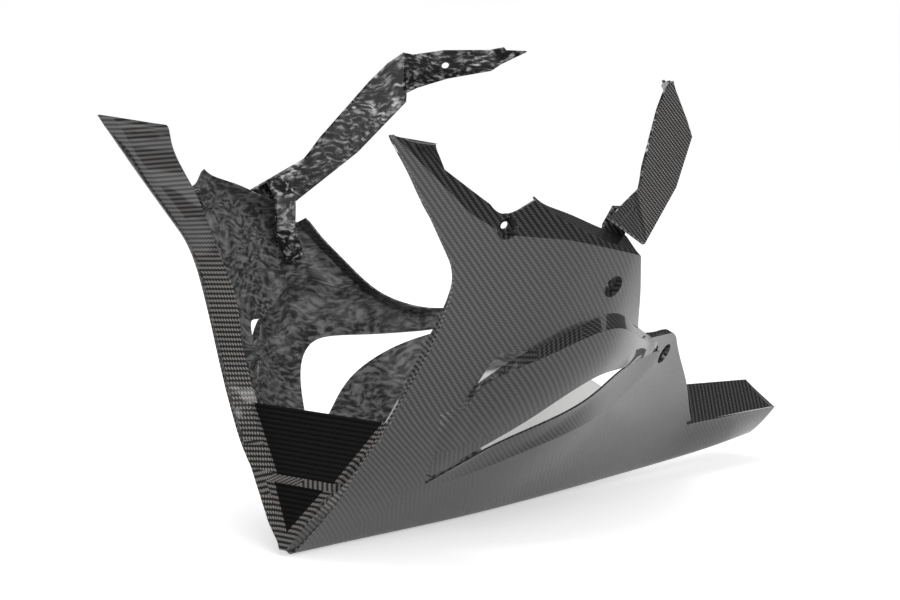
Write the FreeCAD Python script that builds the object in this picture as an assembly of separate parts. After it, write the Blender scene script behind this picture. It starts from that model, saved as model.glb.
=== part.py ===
import FreeCAD, Part
import math
import os
from FreeCAD import Vector

# Belly pan of a sports motorcycle: one thin carbon moulding shaped like a boat's bow,
# with a V-shaped mouth in front, a gill vent in each side, and two arms bolted on top.
# X runs to the rear of the bike, Y to its right and Z up. All lengths are millimetres.

# Walls and general sizes
WALL = 2.0
LIP_WALL = 1.6
SEAM = 0.7
ROOT = 1.2
TRIM_REACH = 300.0
SECTION_TOP = 385.0
GRID_ALONG = 26
GRID_ACROSS = 17

# Lines of the hull: each pair is a station on X and the value there
KEEL_LINE = [(-20, 7.0), (100, 7.0), (290, 7.0), (458, 12.0), (607, 19.0), (700, 27.5)]
VEE_SPREAD = [(-20, 0.93), (95, 0.95), (180, 1.1), (270, 1.25), (350, 1.15), (440, 1.05), (550, 0.86),
              (678, 1.15), (710, 1.2)]
SIDE_LINE = [(-20, 78.0), (7, 85.5), (95, 110.0), (145, 127.0), (200, 147.0), (250, 155.0), (276, 152.0),
             (308, 143.0), (340, 131.0), (380, 118.0), (432, 104.0), (495, 92.0), (550, 84.0), (620, 86.0),
             (700, 92.0)]
SIDE_HEIGHT = 150.0
SIDE_FLARE = 0.48
SIDE_CURVE = 0.00047
BILGE_BLEND = 10.0
KEEL_ROUND = 6.0

# Front edge of the mouth, from the horn tip down to the nose: X and Z of the trimmed edge
FRONT_TRIM = [(7, 358), (24, 336), (53, 298.6), (84, 259), (95, 236), (96, 208), (91, 171), (82, 128), (78, 108),
              (74, 87), (73, 68), (71, 50), (67, 31)]
NOSE_FOOT = (61, 5)
# Fold of the flange beside it, where a bevel parts the two: X, Z and how far it is inset
FRONT_FOLD = {9: (73.4, 87, 0.3), 10: (69.5, 68, 1), 11: (63, 50, 3.5), 12: (56, 31, 6.5)}
# Free edge of the flange beside each of those: X, half width and Z
FRONT_FREE = [(71, 153, 347), (76, 151, 333), (93, 146, 297), (107, 137, 257), (112, 130, 233), (113, 116, 206),
              (105, 99, 170), (98, 77, 126), (94, 65, 107), (88, 47, 87), (82, 31, 66), (70, 23, 50),
              (61, 9, 31)]
# Nose below that: X and Z of the bevel's root on the skin, then its fold and free edge as X, half width and Z;
# the last ones lie across the middle plane, where both sides run together
NOSE_ROOT = [(66.4, 19), (64.6, 12)]
NOSE_FOLD = [(55, 11, 22), (53.5, 5.5, 15.5), (52.6, -1, 12.4)]
NOSE_FREE = [(57.5, 4.5, 21.5), (56.3, 1.5, 18.5), (57.2, -1, 21)]
# Facet along the outer side of the flange: its turn, its width and the heights between which it fades out
FACET_TURN = 60.0
FACET_WIDTH = 11.0
FACET_FADE = (236.0, 299.0)

# Side view of the other trimmed edges
HORN_BLUNT = (18.0, 355.0)
VALLEY = [(107.0, 299.5), (124.0, 291.0), (134.0, 294.0)]
PEAK = (145.0, 301.0)
TOP_FOLD = [(145, 301), (169, 286), (189, 276), (210, 267), (233, 259), (257, 253)]
REAR_FOLD = [(268, 247), (278, 232), (290, 216), (304, 197), (322, 178), (340, 168), (358, 164)]
LOBE_TOP = (420.0, 161.0)
LOBE_EDGE = [(430, 156), (462, 130), (501, 101), (540, 68), (554, 56)]
TOP_LIP_IN = 11.0
TOP_LIP_UP = 11.0
REAR_LIP = 14.0
LOBE_LIP = 6.0

# Tail
TAIL_END = 678.0
TAIL_HALF = 33.0
CHINE_HEIGHT = 56.0
TAIL_MOUTH = 548.0
RIDGE_FRONT = 88.0
RIDGE_REAR = 79.0

# Gill vent: cut-out in the hull seen from the side, then the blade that covers it
VENT_TOP = [(125, 127), (151, 166), (158, 175), (166, 175), (182, 176), (208, 185), (239, 198), (252, 200),
            (272, 195), (327, 177), (374, 160), (396, 152)]
VENT_CREASE = [(402, 137), (374, 122), (332, 105), (282, 93), (236, 78), (196, 63), (161, 64)]
VENT_FRONT = (150, 68)
BLADE_LOW = [(150, 62, -1), (170, 78, 1), (183, 93, 3), (195, 107, 5), (210, 121, 6), (225, 134, 7),
             (244, 146, 7), (264, 150, 6), (300, 149, 5), (352, 148, 3), (395, 149, -1)]
BLADE_HIGH = [(119, 122, -1), (136, 136, 2), (147, 146, 4), (158, 157, 6), (169, 167, 8), (181, 172, 9),
              (202, 181, 10), (231, 191, 10), (250, 192, 9), (290, 181, 6), (345, 166, 3), (397, 151.5, -0.8)]
BLADE_BULGE = 2.5
BLADE_ROWS = 11
BAND_FREE = [(121, 126, -1.2), (139, 139, -3), (150, 149, -3), (161, 160, -2), (172, 170, -1.2),
             (184, 177, -1.2), (208, 187, -1.2), (239, 200, -1.2), (253, 202, -1.2), (292, 190, -1.2),
             (345, 172, -1.2), (396, 155, -1.2)]
SCOOP_EDGE = [(407, 138), (374, 122), (332, 105), (282, 93), (236, 78), (196, 63), (157, 61)]
SCOOP_LIP = [(402, 147, -0.8), (378, 146, -2.5), (343, 140, -4), (312, 131, -5), (276, 117, -5), (236, 101, -5),
             (186, 82, -0.8)]

# Bolt recesses: station, height
BOLTS = [(128, 279), (243, 224), (418, 142)]
RECESS_MOUTH = 9.5
RECESS_FLOOR = 8.0
RECESS_DEPTH = 6.0
BOLT_HOLE = 3.4
BOSS_WALL = 1.6

# Front wall: corners of its upper plate, ledge and lower triangle, right side
FOOT_TOP = (95.5, 80, 119)
FOOT_LEDGE = (81, 38, 65)
FOOT_STEP = (73.5, 42, 60)
FOOT_POINT = (54.5, 3, 11)

# Arms, right side before the swing: the flat lower section, then the thin upper one with its spike
ARM_WALL = 2.5
ARM_SWING = 4.0
ARM_LOWER = [(215, 201, 280.5), (262, 202, 259), (334, 179, 303), (380, 159, 344), (377, 153, 357), (366, 146.5, 390),
             (350, 151, 382), (332, 158, 367), (287, 179, 321), (279, 183, 310), (273, 186, 303)]
ARM_UPPER = [(366, 146, 390), (373, 140, 387), (394, 122, 390), (426, 95, 388), (436, 86, 390), (438, 85, 387),
             (452, 73, 385), (437, 91, 375), (431, 98, 369), (402, 126, 364), (383, 146, 357), (377, 153, 353)]
ARM_HOLE = (398, 124, 376)

# Tongue that hangs from each arm's foot to the middle bolt: half width and Z of its bends
TONGUE_WIDTH = 26.0
TONGUE_GAP = 0.2
TONGUE_REACH = 17.0
TONGUE_BENDS = [(185, 262), (185, 273), (194.5, 288)]


def smooth(x, knots):
    """Value at x of a smooth curve through the knots."""
    last = len(knots) - 2
    index = max(i for i in range(last + 1) if i == 0 or knots[i][0] <= x)
    slopes = []
    for i in (index, index + 1):
        before = knots[max(i - 1, 0)]
        after = knots[min(i + 1, last + 1)]
        slopes.append((after[1] - before[1]) / (after[0] - before[0]))
    (x0, y0), (x1, y1) = knots[index], knots[index + 1]
    span = x1 - x0
    t = (x - x0) / span
    rise = (3 - 2 * t) * t * t
    return (y0 * (1 - rise) + y1 * rise
            + span * slopes[0] * t * (1 - t) ** 2 - span * slopes[1] * t * t * (1 - t))


def half_breadth(x, z):
    """Half of the hull's outer width at station x and height z."""
    depth = max(z - smooth(x, KEEL_LINE), 0.0) + KEEL_ROUND
    vee = smooth(x, VEE_SPREAD) * math.sqrt(depth * depth - KEEL_ROUND * KEEL_ROUND)
    lift = z - SIDE_HEIGHT
    side = smooth(x, SIDE_LINE) + SIDE_FLARE * lift - SIDE_CURVE * lift * lift
    blend = BILGE_BLEND * math.log(1 + math.exp(-abs(vee - side) / BILGE_BLEND))
    return min(vee, side) - blend * (1 - math.exp(-vee / (2 * BILGE_BLEND)))


def skin(x, z, out=0.0):
    """Point on the right outer skin, moved out along its normal."""
    step = 0.5
    slope_x = (half_breadth(x + step, z) - half_breadth(x - step, z)) / (2 * step)
    slope_z = (half_breadth(x, z + step) - half_breadth(x, z - step)) / (2 * step)
    normal = Vector(-slope_x, 1, -slope_z)
    normal.normalize()
    return Vector(x, half_breadth(x, z), z) + normal * out


def wall_between(outer_rows, inner_rows):
    """Closed wall between two grids of points."""
    faces = []
    surfaces = []
    for rows in (outer_rows, inner_rows):
        surface = Part.BSplineSurface()
        surface.interpolate(rows)
        surfaces.append(surface)
        faces.append(surface.toShape())
    u0, u1, v0, v1 = surfaces[0].bounds()
    for value in (u0, u1):
        rims = [s.uIso(value).toShape() for s in surfaces]
        faces.append(Part.makeRuledSurface(rims[0], rims[1]))
    for value in (v0, v1):
        rims = [s.vIso(value).toShape() for s in surfaces]
        faces.append(Part.makeRuledSurface(rims[0], rims[1]))
    shell = Part.makeCompound(faces)
    shell.sewShape()
    solid = Part.makeSolid(shell.Shells[0])
    if solid.Volume < 0:
        solid.reverse()
    return solid


def offset_rows(rows, thickness):
    """The same rows of points moved square to the sheet that runs through them."""
    moved = []
    for i, row in enumerate(rows):
        after = rows[min(i + 1, len(rows) - 1)]
        before = rows[max(i - 1, 0)]
        moved_row = []
        for j, point in enumerate(row):
            across = row[min(j + 1, len(row) - 1)] - row[max(j - 1, 0)]
            normal = (after[j] - before[j]).cross(across)
            normal.normalize()
            moved_row.append(point + normal * thickness)
        moved.append(moved_row)
    return moved


def flat_section(row, along):
    """Points of a row pressed onto one plane that holds its ends and stands square to the sheet."""
    chord = row[-1] - row[0]
    square = along.cross(chord).cross(chord)
    square.normalize()
    across = chord.cross(along.cross(chord))
    across.normalize()
    return [p - across * (p - row[0]).dot(across) for p in row], across


def ring_of(points, across, thickness, curved):
    """Closed outline of a wall: the first stretch smooth, the rest straight, and its other side mitred."""
    normals = []
    for one, two in zip(points, points[1:]):
        normal = across.cross(two - one)
        normal.normalize()
        normals.append(normal)
    back = []
    for j, point in enumerate(points):
        one = normals[max(j - 1, 0)]
        two = normals[min(j, len(normals) - 1)]
        back.append(point + (one + two) * (thickness / (1 + one.dot(two))))
    edges = []
    for line in (points, back):
        if curved:
            edges.append([curve(line[:curved + 1])])
        else:
            edges.append([])
        for one, two in zip(line[curved:], line[curved + 1:]):
            edges[-1].append(Part.LineSegment(one, two).toShape())
    ends = [Part.LineSegment(points[k], back[k]).toShape() for k in (0, -1)]
    return Part.Wire(Part.__sortEdges__(edges[0] + [ends[1]] + edges[1][::-1] + [ends[0]]))


def wall_sections(rows, thickness, curved=0):
    """Closed section of a wall at each row of points, thickened to one side."""
    sections = []
    for i, row in enumerate(rows):
        after = rows[min(i + 1, len(rows) - 1)]
        before = rows[max(i - 1, 0)]
        along = after[0] + after[-1] - before[0] - before[-1]
        points, across = flat_section(row, along)
        sections.append(ring_of(points, across, thickness, curved))
    return sections


def loft_solid(sections, ruled=False):
    """Solid through closed sections, smooth or ruled."""
    solid = Part.makeLoft(sections, True, ruled)
    if solid.Volume < 0:
        solid.reverse()
    return solid


def loft_wall(rows, thickness=LIP_WALL, curved=0):
    """Smooth wall through the rows of points."""
    return loft_solid(wall_sections(rows, thickness, curved))


def hull_half():
    """The untrimmed right half of the hull, from its keel up to the rim."""
    start = -15.0
    rows = []
    for i in range(GRID_ALONG + 1):
        x = start + (TAIL_END + 5 - start) * i / GRID_ALONG
        keel = smooth(x, KEEL_LINE)
        row = []
        for j in range(GRID_ACROSS + 1):
            z = keel + (SECTION_TOP - keel) * (j / GRID_ACROSS) ** 2
            row.append(Vector(x, half_breadth(x, z), z))
        rows.append(row)
    inner = offset_rows(rows, WALL)
    for row in inner:
        row[0] = Vector(row[0].x, 0, row[0].z)
    return wall_between(rows, inner)


def curve(points):
    """Smooth edge through points."""
    line = Part.BSplineCurve()
    line.interpolate([Vector(*p) for p in points])
    return line.toShape()


def side_wire(pieces):
    """Closed wire in the side view; a piece of two points is straight, a longer one a smooth curve."""
    edges = []
    for points in pieces:
        flat = [(p[0], 0, p[1]) for p in points]
        if len(flat) == 2:
            edges.append(Part.LineSegment(Vector(*flat[0]), Vector(*flat[1])).toShape())
        else:
            edges.append(curve(flat))
    return Part.Wire(Part.__sortEdges__(edges))


def through_cut(pieces):
    """Prism right across the pan over an outline in the side view."""
    face = Part.Face(side_wire(pieces))
    prism = face.extrude(Vector(0, 2 * TRIM_REACH, 0))
    prism.translate(Vector(0, -TRIM_REACH, 0))
    return prism


def side_trim():
    """Outline of the whole pan in the side view."""
    low = -30.0
    under = (NOSE_FOOT[0], low)
    tail_top = (TAIL_END, CHINE_HEIGHT)
    tail_low = (TAIL_END, low)
    return through_cut([
        [under, NOSE_FOOT], [NOSE_FOOT] + FRONT_TRIM[:2:-1], [FRONT_TRIM[3], FRONT_TRIM[0]],
        [FRONT_TRIM[0], HORN_BLUNT], [HORN_BLUNT, VALLEY[0]], VALLEY, [VALLEY[-1], PEAK], TOP_FOLD,
        [TOP_FOLD[-1], REAR_FOLD[0]], REAR_FOLD, [REAR_FOLD[-1], LOBE_TOP], [LOBE_TOP, LOBE_EDGE[0]], LOBE_EDGE,
        [LOBE_EDGE[-1], tail_top], [tail_top, tail_low], [tail_low, under]])


def front_flange():
    """Flange that lines the mouth on the right side: a bevel low down, a narrow facet, then a plate."""
    turn = math.radians(FACET_TURN)
    turned = Vector(math.cos(turn), -math.sin(turn), 0) * FACET_WIDTH
    rows = []
    for i, ((x, z), free) in enumerate(zip(FRONT_TRIM, FRONT_FREE)):
        edge = Vector(*free)
        base = skin(x + ROOT, z, -SEAM)
        fade = min(max((z - FACET_FADE[0]) / (FACET_FADE[1] - FACET_FADE[0]), 0.0), 1.0)
        if i in FRONT_FOLD:
            fold = skin(*FRONT_FOLD[i][:2], -FRONT_FOLD[i][2])
        else:
            fold = None
        start = fold if fold else base
        crease = (start + turned) * fade + (start + (edge - start) * 0.45) * (1 - fade)
        if not fold:
            fold = base + (crease - base) * 0.2
        rows.append([base, fold, crease, edge])
    roots = [skin(x, z, -SEAM) for x, z in NOSE_ROOT]
    roots.append(Vector(roots[-1].x, -1, smooth(roots[-1].x, KEEL_LINE) + SEAM))
    for root, fold, free in zip(roots, NOSE_FOLD, NOSE_FREE):
        fold, edge = Vector(*fold), Vector(*free)
        rows.append([root, fold, fold + (edge - fold) * 0.45, edge])
    sections = wall_sections(rows, -LIP_WALL)
    bend = min(FRONT_FOLD)
    return loft_solid(sections[:bend + 1]).fuse(loft_solid(sections[bend:], True))


def top_lip():
    """Facet that leans inward from the top fold and carries the arm."""
    rows = []
    for i, (x, z) in enumerate(TOP_FOLD):
        fold = skin(x - ROOT / 2, z - ROOT, -SEAM)
        grow = min(0.25 + i / 3.0, 1.0)
        edge = fold + Vector(1, -TOP_LIP_IN * grow, TOP_LIP_UP * grow)
        rows.append([fold, edge])
    return loft_wall(rows, -LIP_WALL)


def rear_lip():
    """Flange turned inward along the rear edge, the notch and the top of the lobe."""
    stations = REAR_FOLD + [(380, 163.3), (400, 162.2), (418, 161)]
    widths = [REAR_LIP] * 6 + [REAR_LIP * 0.8, LOBE_LIP, LOBE_LIP, LOBE_LIP]
    slants = [1.0] * 4 + [0.6, 0.3, 0, 0, 0, 0]
    rows = []
    for (x, z), width, slant in zip(stations, widths, slants):
        foot_x = x - ROOT * slant
        foot_z = z - ROOT * (1 - slant * 0.6)
        rows.append([skin(foot_x, foot_z, -SEAM), skin(foot_x, foot_z, -SEAM - width)])
    return loft_wall(rows, -LIP_WALL)


def even(points, count):
    """Points at equal steps along a smooth curve."""
    return curve(points).discretize(count)


def blade():
    """Louvre blade over the vent, with the band that returns from its upper edge to the hull."""
    rows = []
    edges = [even(line, BLADE_ROWS) for line in (BLADE_LOW, BLADE_HIGH, BAND_FREE)]
    for i, (low, high, free) in enumerate(zip(*edges)):
        swell = BLADE_BULGE * math.sin(math.pi * i / (BLADE_ROWS - 1))
        row = []
        for j in range(5):
            v = j / 4
            p = low + (high - low) * v
            row.append(skin(p.x, p.y, p.z + swell * 4 * v * (1 - v)))
        row.append(skin(free.x, free.y, free.z))
        rows.append(row)
    return loft_wall(rows, LIP_WALL, 4)


def scoop():
    """Dished lip below the vent, from the crease in the hull in to the opening."""
    rows = []
    for (x, z), lip in zip(SCOOP_EDGE, SCOOP_LIP):
        rows.append([skin(x, z - ROOT, -SEAM), skin(*lip)])
    return loft_wall(rows, LIP_WALL)


def front_wall():
    """Wall across the foot of the mouth, folded into an upper plate, a ledge and a lower triangle."""
    folds = [FOOT_TOP, FOOT_LEDGE, FOOT_STEP, FOOT_POINT]
    profile = ring_of([Vector(x, -1, z) for x, y, z in folds], Vector(0, 1, 0), WALL, 0)
    folded = Part.Face(profile).extrude(Vector(0, TRIM_REACH, 0))
    spare = 20.0
    rise = (FOOT_TOP[1] - FOOT_LEDGE[1]) / (FOOT_TOP[2] - FOOT_LEDGE[2])
    above = (FOOT_TOP[1] + rise * spare, FOOT_TOP[2] + spare)
    below = FOOT_POINT[2] - spare
    front = [(-spare, above[1]), above] + [(y, z) for x, y, z in folds[1:]] + [(FOOT_POINT[1], below), (-spare, below)]
    corners = [Vector(0, y, z) for y, z in front]
    return folded.common(Part.Face(Part.makePolygon(corners + corners[:1])).extrude(Vector(TRIM_REACH, 0, 0)))


def tail_deck():
    """Facet that closes the tail above its chine, and the right half of the wall across its end."""
    side = TAIL_HALF - 1
    chine = [Vector(x, side, CHINE_HEIGHT - 1) for x in (TAIL_MOUTH, TAIL_END)]
    ridge = [Vector(TAIL_MOUTH, -1, RIDGE_FRONT), Vector(TAIL_END, -1, RIDGE_REAR)]
    roof = loft_wall([[a, b] for a, b in zip(chine, ridge)])
    end = TAIL_END - SEAM
    keel = smooth(end, KEEL_LINE) + WALL / 2
    rim = []
    for k in range(9):
        z = keel + (CHINE_HEIGHT - keel) * (k / 8) ** 2
        rim.append(Vector(end, half_breadth(end, z) - WALL / 2, z))
    foot = Vector(end, -1, rim[0].z)
    corners = [rim[-1], Vector(end, 0, RIDGE_REAR - 1), Vector(end, -1, RIDGE_REAR - 1), foot, rim[0]]
    wall = Part.Face(Part.Wire([curve(rim), Part.makePolygon(corners)])).extrude(Vector(-WALL, 0, 0))
    return [roof, wall]


def bolt_frame(x, z):
    """Skin point and outward normal of a bolt."""
    foot = skin(x, z)
    normal = skin(x, z, 1.0) - foot
    return foot, normal


def bolt_boss(x, z):
    """Solid cup on the inside of the hull, before its recess is cut."""
    foot, normal = bolt_frame(x, z)
    return Part.makeCone(RECESS_MOUTH + BOSS_WALL, RECESS_FLOOR + BOSS_WALL, RECESS_DEPTH + WALL - 0.4,
                         foot - normal * 0.4, normal * -1)


def bolt_recess(x, z):
    """Round recess with the bolt hole in its floor."""
    foot, normal = bolt_frame(x, z)
    top = foot + normal * 4.0
    mouth = RECESS_MOUTH + (RECESS_MOUTH - RECESS_FLOOR) * 4.0 / RECESS_DEPTH
    cup = Part.makeCone(mouth, RECESS_FLOOR, RECESS_DEPTH + 4.0, top, normal * -1)
    bore = Part.makeCylinder(BOLT_HOLE, 30, top, normal * -1)
    return cup.fuse(bore)


def best_plane(points):
    """Centre of a loop of points and the normal of the plane nearest to it, turned towards the middle."""
    corners = [Vector(*p) for p in points]
    centre = sum(corners, Vector(0, 0, 0)) * (1.0 / len(corners))
    normal = Vector(0, 0, 0)
    for one, two in zip(corners, corners[1:] + corners[:1]):
        normal += (one - centre).cross(two - centre)
    normal.normalize()
    return centre, normal * math.copysign(1, -normal.y)


def flat_plate(points, thickness):
    """Plate over the outline pressed flat onto its nearest plane, thickened inward."""
    centre, normal = best_plane(points)
    corners = []
    for p in points:
        corner = Vector(*p)
        corners.append(corner - normal * (corner - centre).dot(normal))
    return Part.Face(Part.makePolygon(corners + corners[:1])).extrude(normal * thickness)


def tongue():
    """Bent strap from the middle bolt's boss up to the arm's inner face, round at its lower end."""
    foot, normal = bolt_frame(*BOLTS[1])
    seat = foot - normal * (RECESS_DEPTH + WALL + TONGUE_GAP)
    rise = Vector(1, 0, 0).cross(normal)
    if rise.z < 0:
        rise = rise * -1
    line = [seat, seat + rise * TONGUE_REACH] + [Vector(seat.x, y, z) for y, z in TONGUE_BENDS]
    half = normal.cross(rise)
    half.normalize()
    half = half * (TONGUE_WIDTH / 2 * math.copysign(1, half.x))
    strap = loft_wall([[p - half for p in line], [p + half for p in line]], ARM_WALL)
    end = Part.makeCylinder(TONGUE_WIDTH / 2, ARM_WALL, seat, normal * -1)
    bore = Part.makeCylinder(BOLT_HOLE, 20, foot, normal * -1)
    return strap.fuse(end).cut(bore)


def arm():
    """Right arm before its swing: two flat sections, the tongue and the bore in the upper section."""
    body = flat_plate(ARM_LOWER, ARM_WALL).fuse(flat_plate(ARM_UPPER, ARM_WALL)).fuse(tongue())
    normal = best_plane(ARM_UPPER)[1]
    return body.cut(Part.makeCylinder(BOLT_HOLE, 20, Vector(*ARM_HOLE) - normal * 10, normal))


def shell_half():
    """Right half of the moulding, cut flat on the middle plane."""
    body = hull_half().common(side_trim())
    vent = through_cut([VENT_TOP, [VENT_TOP[-1], VENT_CREASE[0]], VENT_CREASE, [VENT_CREASE[-1], VENT_FRONT],
                        [VENT_FRONT, VENT_TOP[0]]])
    body = body.cut(vent)
    parts = [front_flange(), top_lip(), rear_lip(), blade(), scoop(), front_wall()] + tail_deck()
    parts += [bolt_boss(x, z) for x, z in BOLTS]
    for piece in parts:
        body = body.fuse(piece)
    for x, z in BOLTS:
        body = body.cut(bolt_recess(x, z))
    side = Part.makeBox(1000, 2 * TRIM_REACH, 1000, Vector(-300, 0, -300))
    return body.common(side)


if __name__ == "__main__":
    os.makedirs("parts", exist_ok=True)
    right = shell_half()
    shell = right.fuse(right.mirror(Vector(0, 0, 0), Vector(0, 1, 0)))
    arm_right = arm()
    arm_left = arm_right.mirror(Vector(0, 0, 0), Vector(0, 1, 0))
    foot, normal = bolt_frame(*BOLTS[1])
    arm_right.rotate(foot, normal, -ARM_SWING)
    arm_left.rotate(Vector(foot.x, -foot.y, foot.z), Vector(normal.x, -normal.y, normal.z), -ARM_SWING)
    nodes = {"pan_shell": shell, "arm_right": arm_right, "arm_left": arm_left}
    box = shell.optimalBoundingBox()
    origin = Vector(box.Center.x, 0, box.ZMin)
    for name, shape in nodes.items():
        shape.translate(-origin)
        shape.exportStep("parts/" + name + ".step")
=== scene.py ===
# %% [markdown]
# A carbon-fibre belly pan from a sports motorcycle: a thin bow-shaped shell and two bent arms.
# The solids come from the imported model. This file gives them their finish, the light and the camera.
# Lengths are in metres and angles in degrees. The pan points along minus X, and Z is up.

# %% Load the frame
import bpy
import math
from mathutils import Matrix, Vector

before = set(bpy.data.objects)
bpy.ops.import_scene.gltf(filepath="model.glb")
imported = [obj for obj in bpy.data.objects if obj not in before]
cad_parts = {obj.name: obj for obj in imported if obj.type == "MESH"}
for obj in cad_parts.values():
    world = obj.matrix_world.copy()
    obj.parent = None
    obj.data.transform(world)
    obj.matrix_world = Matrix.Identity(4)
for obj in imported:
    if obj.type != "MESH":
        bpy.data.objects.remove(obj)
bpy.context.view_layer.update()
print("nodes", sorted(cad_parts))

# %% [markdown]
# The camera stands to the front left of the pan, a little above it, and a long way off.
# A long lens from far away keeps the two sides of the mouth nearly parallel, as a catalogue picture does.

# %% Camera
VIEW_AZIMUTH = -48.0
VIEW_TILT = 7.41
CAMERA_PLACE = (-1.96926, -1.69434, 0.51843)
LENS = 120.32
SENSOR_WIDTH = 36.0
FARTHEST = 100.0

camera_data = bpy.data.cameras.new("camera")
camera_data.lens = LENS
camera_data.sensor_width = SENSOR_WIDTH
camera_data.clip_end = FARTHEST
camera = bpy.data.objects.new("camera", camera_data)
camera.location = CAMERA_PLACE
camera.rotation_euler = (math.radians(90.0 - VIEW_TILT), 0.0, math.radians(VIEW_AZIMUTH))
bpy.context.scene.collection.objects.link(camera)
bpy.context.scene.camera = camera
bpy.context.scene.view_settings.view_transform = "Standard"
print("camera at", tuple(round(v, 3) for v in camera.location))

# %% [markdown]
# Shader nodes are easier to read when each one is made by a short call.
# `Maths` keeps a node tree at hand and turns sums and products into Math nodes.
# A fade is a pair of numbers: `smooth` rises from 0 at the first to 1 at the second.

# %% Helpers for node trees
class Maths:
    """Makes Math nodes in one tree; an input is a socket or a number."""

    def __init__(self, tree):
        self.tree = tree

    def feed(self, socket, value):
        if isinstance(value, bpy.types.NodeSocket):
            self.tree.links.new(value, socket)
        else:
            socket.default_value = value

    def op(self, kind, *values):
        node = self.tree.nodes.new("ShaderNodeMath")
        node.operation = kind
        for socket, value in zip(node.inputs, values):
            self.feed(socket, value)
        return node.outputs[0]

    def add(self, a, b):
        return self.op("ADD", a, b)

    def sub(self, a, b):
        return self.op("SUBTRACT", a, b)

    def mul(self, a, b):
        return self.op("MULTIPLY", a, b)

    def most(self, a, b):
        return self.op("MAXIMUM", a, b)

    def smooth(self, value, fade):
        node = self.tree.nodes.new("ShaderNodeMapRange")
        node.interpolation_type = "SMOOTHSTEP"
        self.feed(node.inputs["Value"], value)
        node.inputs["From Min"].default_value = fade[0]
        node.inputs["From Max"].default_value = fade[1]
        return node.outputs[0]

    def mix(self, factor, a, b):
        node = self.tree.nodes.new("ShaderNodeMix")
        self.feed(node.inputs["Factor"], factor)
        self.feed(node.inputs["A"], a)
        self.feed(node.inputs["B"], b)
        return node.outputs["Result"]

    def mix_colour(self, factor, a, b):
        node = self.tree.nodes.new("ShaderNodeMix")
        node.data_type = "RGBA"
        self.feed(node.inputs["Factor"], factor)
        for socket, value in zip([s for s in node.inputs if s.type == "RGBA"], (a, b)):
            self.feed(socket, value if isinstance(value, bpy.types.NodeSocket) else tuple(value) + (1.0,))
        return [s for s in node.outputs if s.type == "RGBA"][0]

    def split(self, vector):
        node = self.tree.nodes.new("ShaderNodeSeparateXYZ")
        self.tree.links.new(vector, node.inputs[0])
        return node.outputs


def new_group(name, inputs, outputs):
    """Empty shader group; inputs are (name, kind, value or None), and every output is a number."""
    tree = bpy.data.node_groups.new(name, "ShaderNodeTree")
    for label, kind, value in inputs:
        socket = tree.interface.new_socket(label, in_out="INPUT", socket_type=kind)
        if value is not None:
            socket.default_value = value
    for label in outputs:
        tree.interface.new_socket(label, in_out="OUTPUT", socket_type="NodeSocketFloat")
    return tree, tree.nodes.new("NodeGroupInput"), tree.nodes.new("NodeGroupOutput")


POSITION = ("Position", "NodeSocketVector", None)
FACING = ("Facing", "NodeSocketVector", None)
print("helpers ready")

# %% [markdown]
# The cloth of this pan is a two-by-two twill: each yarn passes over two and under two of the others,
# one step further on each row, which draws fine diagonal lines. At the size of this model the pattern in
# the photograph repeats every 5.4 millimetres, and one repeat is four yarns. The weave is worked out in three
# flat projections, and each place takes the one it faces most. On the flank, height is counted along the
# surface, because the cloth hangs down the slanted bottom as well. Faces that look forward or inward take
# the cloth turned by 45 degrees, so that its lines lie level there, as on the strips round the mouth.

# %% Twill weave group
YARN = 0.00135
TWILL_CYCLE = 4.0
LAST_CELL_OVER = 1.5
CHINE = 0.108
CHINE_ROUND = 0.03
BOTTOM_SLOPE = 0.42
DIAGONAL = math.sqrt(0.5)
FACE_FADE = (-0.02, 0.02)
DASH_FADE = (0.35, 0.8)


def build_weave_group():
    tree, entry, out = new_group(
        "twill weave",
        [POSITION, FACING, ("Yarn Width", "NodeSocketFloat", YARN)],
        ["Over", "Dash", "Height"])
    m = Maths(tree)
    x, y, z = m.split(entry.outputs["Position"])
    nx, ny, nz = m.split(entry.outputs["Facing"])
    width = entry.outputs["Yarn Width"]
    mirrored_y = m.mul(y, m.op("SIGN", y))

    def flat_weave(u, v):
        a = m.op("DIVIDE", u, width)
        b = m.op("DIVIDE", v, width)
        cell = m.add(m.op("FLOOR", a), m.op("FLOOR", b))
        over = m.op("LESS_THAN", m.op("FLOORED_MODULO", cell, TWILL_CYCLE), LAST_CELL_OVER)
        crown_a = m.op("SINE", m.mul(m.op("FRACT", a), math.pi))
        crown_b = m.op("SINE", m.mul(m.op("FRACT", b), math.pi))
        return over, m.mix(over, crown_a, crown_b)

    def askew(u):
        return [m.mul(m.add(u, z), DIAGONAL), m.mul(m.sub(z, u), DIAGONAL)]

    draped = m.add(z, m.mul(m.op("SMOOTH_MIN", z, CHINE, CHINE_ROUND), BOTTOM_SLOPE))
    turned_in = m.op("LESS_THAN", m.mul(ny, m.op("SIGN", y)), 0.0)
    flank = [m.mix(turned_in, a, b) for a, b in zip((x, draped), askew(x))]
    sides = [flat_weave(*flank), flat_weave(*askew(mirrored_y)), flat_weave(x, mirrored_y)]
    ax, ay, az = (m.op("ABSOLUTE", n) for n in (nx, ny, nz))
    to_front = m.smooth(m.sub(ax, m.most(ay, az)), FACE_FADE)
    to_top = m.smooth(m.sub(az, m.most(ay, ax)), FACE_FADE)
    over, height = (m.mix(to_top, m.mix(to_front, side, front), top) for side, front, top in zip(*sides))
    tree.links.new(over, out.inputs["Over"])
    tree.links.new(m.mul(over, m.smooth(height, DASH_FADE)), out.inputs["Dash"])
    tree.links.new(height, out.inputs["Height"])
    return tree


weave_group = build_weave_group()
print("weave group", len(weave_group.nodes), "nodes")

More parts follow.
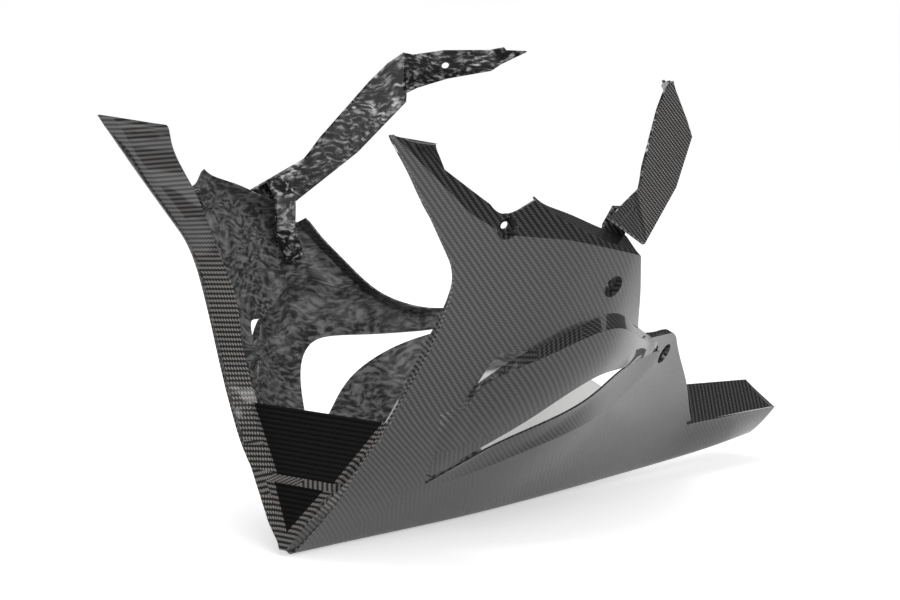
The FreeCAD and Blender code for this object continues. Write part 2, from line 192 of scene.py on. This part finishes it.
# %% [markdown]
# Hand laying leaves its marks on the open side, and one group draws them. `Wrinkles` are ridges for the
# bump, `Blotches` and the fine stretched `Grain` vary colour and gloss, and `Clouds` are for the pale lining.
# On the arms the blotches and grain also become painted glints. All but the clouds are bent by a slow noise,
# so that they run in curls.

# %% Resin marks group, also the source of the arms' painted glints
BEND_SCALE = 22.0
BEND_REACH = (0.03, 0.03, 0.03)
WRINKLE_SCALE = 90.0
WRINKLE_HEIGHT = 0.5
CLOUD_SCALE = 9.0
BLOTCH_SCALE = 42.0
BLOTCH_FADE = (0.5, 0.68)
GRAIN_SCALE = 300.0
GRAIN_STRETCH = (0.35, 0.6, 1.0)
GRAIN_FADE = (0.36, 0.7)


def build_resin_group():
    tree, entry, out = new_group(
        "resin marks",
        [POSITION, ("Wrinkle Size", "NodeSocketFloat", WRINKLE_SCALE)],
        ["Wrinkles", "Clouds", "Blotches", "Grain"])
    m = Maths(tree)
    position = entry.outputs["Position"]

    def noise(vector, scale, detail):
        node = tree.nodes.new("ShaderNodeTexNoise")
        m.feed(node.inputs["Scale"], scale)
        node.inputs["Detail"].default_value = detail
        tree.links.new(vector, node.inputs["Vector"])
        return node

    def scaled(vector, factors, added=None):
        node = tree.nodes.new("ShaderNodeVectorMath")
        node.operation = "MULTIPLY_ADD" if added else "MULTIPLY"
        tree.links.new(vector, node.inputs[0])
        node.inputs[1].default_value = factors
        if added:
            tree.links.new(added, node.inputs[2])
        return node.outputs[0]

    bent = scaled(noise(position, BEND_SCALE, 2.0).outputs["Color"], BEND_REACH, position)
    ridges = noise(bent, entry.outputs["Wrinkle Size"], 3.0)
    ridges.noise_type = "RIDGED_MULTIFRACTAL"
    ridges.normalize = False
    clouds = noise(position, CLOUD_SCALE, 4.0)
    blotches = noise(bent, BLOTCH_SCALE, 3.0)
    grain = noise(scaled(bent, GRAIN_STRETCH), GRAIN_SCALE, 3.0)
    tree.links.new(m.mul(ridges.outputs[0], WRINKLE_HEIGHT), out.inputs["Wrinkles"])
    tree.links.new(clouds.outputs[0], out.inputs["Clouds"])
    tree.links.new(m.smooth(blotches.outputs[0], BLOTCH_FADE), out.inputs["Blotches"])
    tree.links.new(m.smooth(grain.outputs[0], GRAIN_FADE), out.inputs["Grain"])
    return tree


resin_group = build_resin_group()
print("resin group", len(resin_group.nodes), "nodes")

# %% [markdown]
# One sheet of carbon has two faces. The mould gave the outside a smooth clear coat over the weave,
# and the inside was open to the air, so it is rough. The solid has both faces in one mesh,
# so the finish is chosen by where a face looks: away from the middle of the pan, or in towards it.
# Other masks mark the flange round the mouth, the ear at its top, the wall at the foot of the mouth, which is
# painted nearly black as a painted dark reflection, the pale lining guessed in the low rear half, and the
# front of the flank, where the painted sheen on the yarn tops is stronger. `Bevel` is a height that falls off
# above a bent line near the top edge, so that light treats the skin there as tilted.

# %% Zones group
OUTWARD_SHARE = 0.9
UPWARD_SHARE = 0.12
OUTSIDE_FADE = (-0.06, 0.06)
FLANGE_PLACE = (0.205, 0.215)
FLANGE_TURN = (0.36, 0.42)
STRIP_TURN = (0.1, 0.16)
STRIP_OUTWARD = 0.5
STRIP_FADE = (0.0, 0.1)
EAR_TURN = (-0.14, -0.08)
EAR_PLACE = (0.225, 0.235)
FOOT_TURN = (0.8, 0.86)
FOOT_HALF = 0.032
FOOT_HEIGHT = 0.0594
FOOT_SPREAD = 0.78
FOOT_SIDE_FADE = (0.0, 0.001)
FOOT_TOP = 0.118
FOOT_TOP_FADE = (0.0, 0.002)
LINING_PLACE = (0.006, 0.01)
LINING_TOP = 0.105
LINING_FADE = (0.0, 0.006)
NOSE_PLACE = (0.12, 0.25)
BEVEL_LINES = [(-0.3275, 0.3464, -0.779), (-0.2505, 0.2864, -0.543), (-0.2155, 0.2674, -0.127)]
BEVEL_REAR = (-0.1605, 0.2604, -0.229)
BEVEL_TILT = 1.25
BEVEL_END = -0.07
BEVEL_FADE = (0.0, 0.01)


def build_zone_group():
    tree, entry, out = new_group(
        "zones",
        [POSITION, FACING],
        ["Outside", "Flange", "Foot Wall", "Ear", "Foil", "Front Light", "Bevel"])
    m = Maths(tree)
    x, y, z = m.split(entry.outputs["Position"])
    nx, ny, nz = m.split(entry.outputs["Facing"])
    half = m.op("ABSOLUTE", y)
    ahead = m.mul(x, -1.0)
    forward = m.mul(nx, -1.0)
    outward = m.mul(ny, m.op("SIGN", y))
    away = m.smooth(m.sub(m.mul(outward, OUTWARD_SHARE), m.mul(nz, UPWARD_SHARE)), OUTSIDE_FADE)

    ear = m.mul(m.smooth(forward, EAR_TURN), m.smooth(z, EAR_PLACE))
    looks_in = m.smooth(m.sub(STRIP_OUTWARD, outward), STRIP_FADE)
    inward = m.mul(m.most(m.smooth(forward, STRIP_TURN), ear), looks_in)
    flange = m.mul(m.smooth(ahead, FLANGE_PLACE), m.most(m.smooth(forward, FLANGE_TURN), inward))
    outside = m.most(away, flange)

    reach = m.add(m.mul(m.sub(z, FOOT_HEIGHT), FOOT_SPREAD), FOOT_HALF)
    between = m.smooth(m.sub(reach, half), FOOT_SIDE_FADE)
    below = m.smooth(m.sub(FOOT_TOP, z), FOOT_TOP_FADE)
    wall = m.mul(m.mul(m.mul(flange, m.smooth(forward, FOOT_TURN)), between), below)

    rear_low = m.mul(m.smooth(x, LINING_PLACE), m.smooth(m.sub(LINING_TOP, z), LINING_FADE))

    lines = [m.add(m.mul(m.sub(x, at), slope), height) for at, height, slope in BEVEL_LINES + [BEVEL_REAR]]
    line = m.most(m.most(lines[0], lines[1]), m.op("MINIMUM", lines[2], lines[3]))
    above = m.most(m.sub(z, line), 0.0)
    on_skin = m.mul(away, m.smooth(m.sub(BEVEL_END, x), BEVEL_FADE))

    tree.links.new(outside, out.inputs["Outside"])
    tree.links.new(flange, out.inputs["Flange"])
    tree.links.new(wall, out.inputs["Foot Wall"])
    tree.links.new(ear, out.inputs["Ear"])
    tree.links.new(m.mul(m.sub(1.0, outside), rear_low), out.inputs["Foil"])
    # Front Light only sets where the painted sheen on the yarn tops grows stronger.
    tree.links.new(m.smooth(ahead, NOSE_PLACE), out.inputs["Front Light"])
    tree.links.new(m.mul(m.mul(above, on_skin), -BEVEL_TILT), out.inputs["Bevel"])
    return tree


zone_group = build_zone_group()
print("zone group", len(zone_group.nodes), "nodes")

# %% [markdown]
# The carbon itself is black. What the eye sees is the clear coat, which mirrors the floor, and under it
# the yarns, whose tops are painted paler than the gaps as a painted sheen for light catching the yarns.
# This painted sheen is a little stronger towards the nose and strongly on the flange, less so on its ear. The
# inner side takes the colours of the resin marks:
# the higher `glint` is, the fewer and sharper its bright spots are, and on the arms these are painted glints.
# The arms share the recipe of the shell, with darker gaps, a brighter painted sheen on the yarn tops, deeper
# wrinkles and no lining.

# %% Carbon material
# Painted sheen: the pale colour of the yarn tops, and how much of it shows towards the nose, on the flange
# and on its ear.
PAINTED_SHEEN_COLOUR = (0.3, 0.28, 0.26)
NOSE_PAINTED_SHEEN = 0.12
FLANGE_PAINTED_SHEEN = 0.88
EAR_PAINTED_SHEEN = 0.42
# Painted dark reflection: near-black colours for the foot wall, standing in for the dark room it mirrors.
PAINTED_DARK_WALL_COLOURS = [(0.002, 0.002, 0.002), (0.009, 0.009, 0.009)]
LINING_COLOURS = [(0.74, 0.74, 0.72), (0.88, 0.88, 0.87)]
BLOTCH_SHARE = 0.22
GRAIN_SHARE = 0.78
INNER_ROUGHNESS = (0.26, 0.5)
CLOTH_ROUGHNESS = (0.34, 0.5)
INNER_COAT = 0.35
OUTER_COAT = 1.0
WALL_COAT = 0.15
COAT_ROUGHNESS = 0.05
COAT_INDEX = 1.5
CLOTH_SPECULAR = 0.25
BEVEL_DEPTH = 1.0
YARN_DEPTH = 0.00004


def carbon(name, skin, inside, glint, wrinkle_depth, lining):
    material = bpy.data.materials.new(name)
    material.use_nodes = True
    tree = material.node_tree
    m = Maths(tree)
    shader = tree.nodes["Principled BSDF"]
    place = tree.nodes.new("ShaderNodeTexCoord").outputs["Object"]
    facing = tree.nodes.new("ShaderNodeNewGeometry").outputs["True Normal"]

    def use(group):
        node = tree.nodes.new("ShaderNodeGroup")
        node.node_tree = group
        for socket, source in (("Position", place), ("Facing", facing)):
            if socket in node.inputs:
                tree.links.new(source, node.inputs[socket])
        return node.outputs

    def bump(height, depth, under=None):
        node = tree.nodes.new("ShaderNodeBump")
        node.inputs["Distance"].default_value = depth
        tree.links.new(height, node.inputs["Height"])
        if under:
            tree.links.new(under, node.inputs["Normal"])
        return node.outputs[0]

    weave = use(weave_group)
    resin = use(resin_group)
    zone = use(zone_group)
    outside = zone["Outside"]

    # Painted sheen: yarn tops are painted paler than the gaps, more towards the nose and on the flange, less
    # on its ear.
    flange_painted_sheen = m.mul(zone["Flange"], m.mix(zone["Ear"], FLANGE_PAINTED_SHEEN, EAR_PAINTED_SHEEN))
    painted_sheen = m.add(m.mul(zone["Front Light"], NOSE_PAINTED_SHEEN), flange_painted_sheen)
    clear = m.mix_colour(weave["Dash"], skin[0], m.mix_colour(painted_sheen, skin[1], PAINTED_SHEEN_COLOUR))
    # Painted dark reflection: the foot wall is painted nearly black.
    clear = m.mix_colour(zone["Foot Wall"], clear, m.mix_colour(weave["Dash"], *PAINTED_DARK_WALL_COLOURS))
    marks_and_glints = m.add(m.mul(resin["Blotches"], BLOTCH_SHARE), m.mul(resin["Grain"], GRAIN_SHARE))
    # Painted glints: with glint above 1 and a pale inside colour, the marks become sparse bright spots
    # standing in for lamp reflections; with glint 1 they stay the resin's own blotches and grain.
    rough = m.mix_colour(m.op("POWER", marks_and_glints, glint), *inside)
    rough = m.mix_colour(m.mul(zone["Foil"], lining), rough, m.mix_colour(resin["Clouds"], *LINING_COLOURS))
    tree.links.new(m.mix_colour(outside, rough, clear), shader.inputs["Base Color"])

    inner_roughness = m.mix(resin["Blotches"], *INNER_ROUGHNESS)
    cloth_roughness = m.mix(weave["Over"], *CLOTH_ROUGHNESS)
    tree.links.new(m.mix(outside, inner_roughness, cloth_roughness), shader.inputs["Roughness"])
    coat = m.mix(outside, INNER_COAT, m.mix(zone["Foot Wall"], OUTER_COAT, WALL_COAT))
    tree.links.new(coat, shader.inputs["Coat Weight"])
    shader.inputs["Specular IOR Level"].default_value = CLOTH_SPECULAR
    shader.inputs["Coat Roughness"].default_value = COAT_ROUGHNESS
    shader.inputs["Coat IOR"].default_value = COAT_INDEX

    leaning = bump(zone["Bevel"], BEVEL_DEPTH)
    woven = bump(m.mul(weave["Height"], outside), YARN_DEPTH, leaning)
    wrinkled = bump(m.mul(resin["Wrinkles"], m.sub(1.0, outside)), wrinkle_depth, woven)
    tree.links.new(leaning, shader.inputs["Coat Normal"])
    tree.links.new(wrinkled, shader.inputs["Normal"])
    print("material", name, len(tree.nodes), "nodes")
    return material


shell_carbon = carbon(
    "shell carbon",
    skin=[(0.016, 0.016, 0.017), (0.095, 0.095, 0.098)],
    inside=[(0.03, 0.03, 0.031), (0.25, 0.25, 0.252)],
    glint=1.0,
    wrinkle_depth=0.0012,
    lining=1.0)
arm_carbon = carbon(
    "arm carbon",
    # A brighter painted sheen on the arms' yarn tops.
    skin=[(0.012, 0.012, 0.012), (0.3, 0.29, 0.28)],
    # The pale top of these inside colours makes the arms' painted glints.
    inside=[(0.01, 0.01, 0.01), (0.9, 0.9, 0.89)],
    glint=3.0,
    wrinkle_depth=0.003,
    lining=0.0)
finishes = {"pan_shell": shell_carbon, "arm_left": arm_carbon, "arm_right": arm_carbon}
for node, material in finishes.items():
    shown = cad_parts[node]
    for slot in shown.material_slots:
        slot.material = material
    print("dressed", node, len(shown.data.polygons), "faces")

# %% [markdown]
# The picture has a plain white ground with a faint shadow. A wide white floor takes the shadow and glows
# for the camera, so that it meets the white world without a line. The world is white to the camera and
# dimmer as a light. Reflections see a nearly dark room above a floor that glows only a little, which gives
# the dark bands that the photograph has on every face that leans upward.

# %% Floor and world
FLOOR_REACH = 30.0
FLOOR_DROP = 0.0005
FLOOR_COLOUR = (0.9, 0.9, 0.9, 1.0)
FLOOR_ROUGHNESS = 0.9
CAMERA_GLOW = 0.5
MIRROR_GLOW = 0.12
WHITE = (1.0, 1.0, 1.0)
WORLD_LIGHT = (0.55, 0.55, 0.56)
MIRRORED_WORLD = (0.06, 0.06, 0.06)

floor_corners = [(FLOOR_REACH * a, FLOOR_REACH * b, 0) for a, b in ((-1, -1), (1, -1), (1, 1), (-1, 1))]
floor_mesh = bpy.data.meshes.new("floor")
floor_mesh.from_pydata(floor_corners, [], [(0, 1, 2, 3)])
floor = bpy.data.objects.new("floor", floor_mesh)
floor.location = (0, 0, -FLOOR_DROP)
bpy.context.scene.collection.objects.link(floor)
floor_material = bpy.data.materials.new("white floor")
floor_material.use_nodes = True
floor_tree = floor_material.node_tree
floor_shader = floor_tree.nodes["Principled BSDF"]
floor_shader.inputs["Base Color"].default_value = FLOOR_COLOUR
floor_shader.inputs["Roughness"].default_value = FLOOR_ROUGHNESS
floor_shader.inputs["Specular IOR Level"].default_value = 0.0
floor_shader.inputs["Emission Color"].default_value = WHITE + (1.0,)
floor_maths = Maths(floor_tree)
floor_rays = floor_tree.nodes.new("ShaderNodeLightPath").outputs
camera_glow = floor_maths.mul(floor_rays["Is Camera Ray"], CAMERA_GLOW)
mirror_glow = floor_maths.mul(floor_rays["Is Glossy Ray"], MIRROR_GLOW)
floor_tree.links.new(floor_maths.add(camera_glow, mirror_glow), floor_shader.inputs["Emission Strength"])
floor_mesh.materials.append(floor_material)

world = bpy.data.worlds.new("studio")
bpy.context.scene.world = world
world.use_nodes = True
world_tree = world.node_tree
back = world_tree.nodes["Background"]
world_maths = Maths(world_tree)
world_rays = world_tree.nodes.new("ShaderNodeLightPath").outputs
seen = world_maths.most(world_rays["Is Camera Ray"], world_rays["Is Transmission Ray"])
unseen = world_maths.mix_colour(world_rays["Is Glossy Ray"], WORLD_LIGHT, MIRRORED_WORLD)
world_tree.links.new(world_maths.mix_colour(seen, unseen, WHITE), back.inputs["Color"])
back.inputs["Strength"].default_value = 1.0
print("floor and world ready")

# %% [markdown]
# Three large soft lamps stand in for the studio's light boxes: the key high above the camera,
# a weaker fill on the camera's right, and one above and behind the pan, which draws the bright edges.
# Each has a place, a point that it is aimed at, a width and height, and a power in watts.

# %% Lamps
LAMPS = {
    "key": ((-1.6, -1.9, 1.9), (0, 0, 0.15), (1.4, 1.4), 22),
    "fill": ((0.9, -2.3, 1.0), (0, 0, 0.15), (1.2, 1.6), 8),
    "top": ((0.2, 0.6, 2.2), (0, 0, 0.1), (1.6, 1.6), 14),
}


def soft_lamp(name, place, target, size, power):
    data = bpy.data.lights.new(name, "AREA")
    data.shape = "RECTANGLE"
    data.size, data.size_y = size
    data.energy = power
    lamp = bpy.data.objects.new(name, data)
    lamp.location = place
    lamp.rotation_euler = (Vector(target) - Vector(place)).to_track_quat("-Z", "Y").to_euler()
    bpy.context.scene.collection.objects.link(lamp)
    print("lamp", name, power, "W")


for name, values in LAMPS.items():
    soft_lamp(name, *values)
